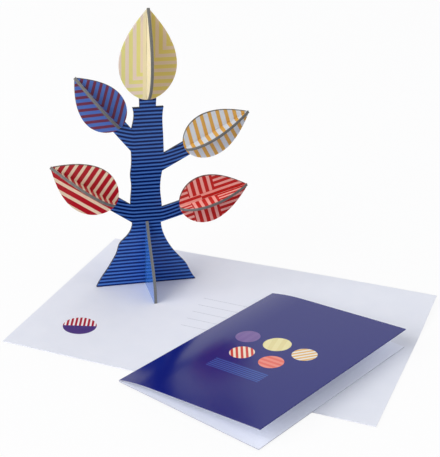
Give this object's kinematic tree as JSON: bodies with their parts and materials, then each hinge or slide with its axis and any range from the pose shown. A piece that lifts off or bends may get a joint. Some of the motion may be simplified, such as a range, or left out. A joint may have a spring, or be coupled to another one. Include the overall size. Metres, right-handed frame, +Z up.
{
  "type": "pop up card",
  "caption": "Slot-together board tree standing on its envelope, with its folded greeting card lying ajar beside it.",
  "frame": {"origin": "under the middle of the tree's foot, on the surface that the envelope lies on", "axes": "+X to the right along the tree's board, -Y out of the board's front, +Z up the tree"},
  "size_m": [0.2818, 0.2728, 0.1868],
  "materials": {
    "printed_board": "gloss laminated print on greyboard",
    "yellow_leaf_board": "gloss laminated print on greyboard",
    "maroon_leaf_board": "gloss laminated print on greyboard",
    "orange_leaf_board": "gloss laminated print on greyboard",
    "red_leaf_board": "gloss laminated print on greyboard",
    "envelope_paper": "matt uncoated paper",
    "card_stock": "gloss laminated cover, matt white inside"
  },
  "bodies": {
    "root": {"tree_board": "printed_board", "base_fin": "printed_board", "top_leaf_fin": "yellow_leaf_board", "upper_left_leaf_fin": "maroon_leaf_board", "upper_right_leaf_fin": "orange_leaf_board", "lower_left_leaf_fin": "red_leaf_board", "lower_right_leaf_fin": "red_leaf_board", "envelope": "envelope_paper", "folded_card": "card_stock"}
  },
  "joints": []
}
